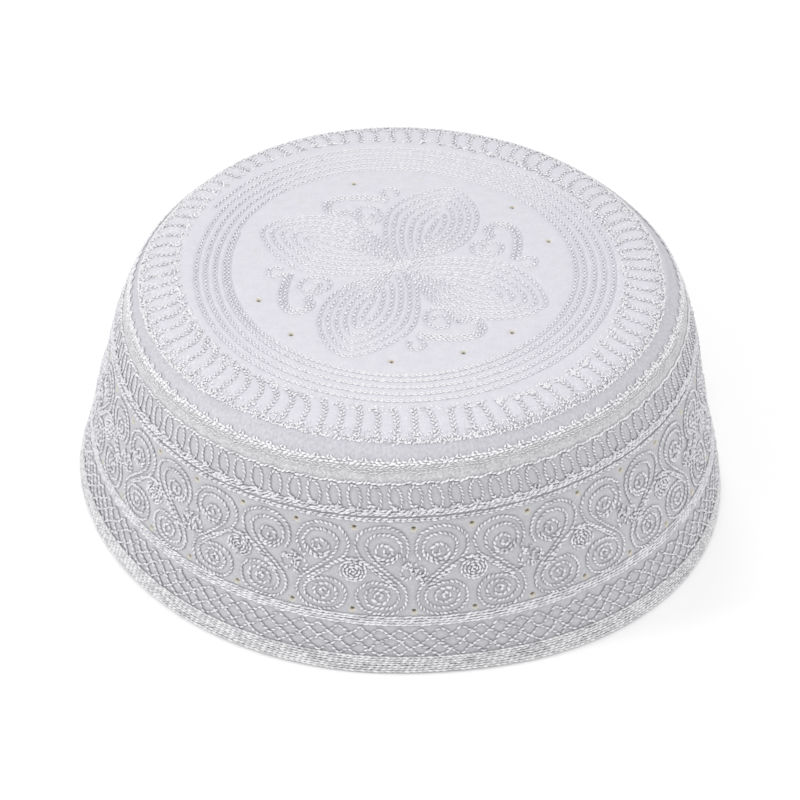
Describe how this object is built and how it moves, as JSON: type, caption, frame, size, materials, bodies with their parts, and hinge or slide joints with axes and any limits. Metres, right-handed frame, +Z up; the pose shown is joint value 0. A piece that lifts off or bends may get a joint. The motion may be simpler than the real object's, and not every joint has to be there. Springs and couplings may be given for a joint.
{
  "type": "kufi cap",
  "caption": "Soft round white prayer cap with a flat crown, a bound seam, a flared embroidered side and a stitched hem.",
  "frame": {"origin": "on the surface the rim rests on, under the middle of the cap", "axes": "+Z up through the crown, +X to the wearer's right with the pictured side at -Y, +Y away from it"},
  "size_m": [0.1846, 0.1788, 0.0701],
  "materials": {
    "crown_panel": "white satin-stitched cotton, soft sheen",
    "seam_binding": "plain off-white cotton strip with a stitched edge",
    "side_band": "white satin-stitched cotton, soft sheen",
    "hem_band": "dense rows of glossy white thread"
  },
  "bodies": {
    "root": {"crown_panel": "crown_panel", "seam_binding": "seam_binding", "side_band": "side_band", "hem_band": "hem_band"}
  },
  "joints": []
}
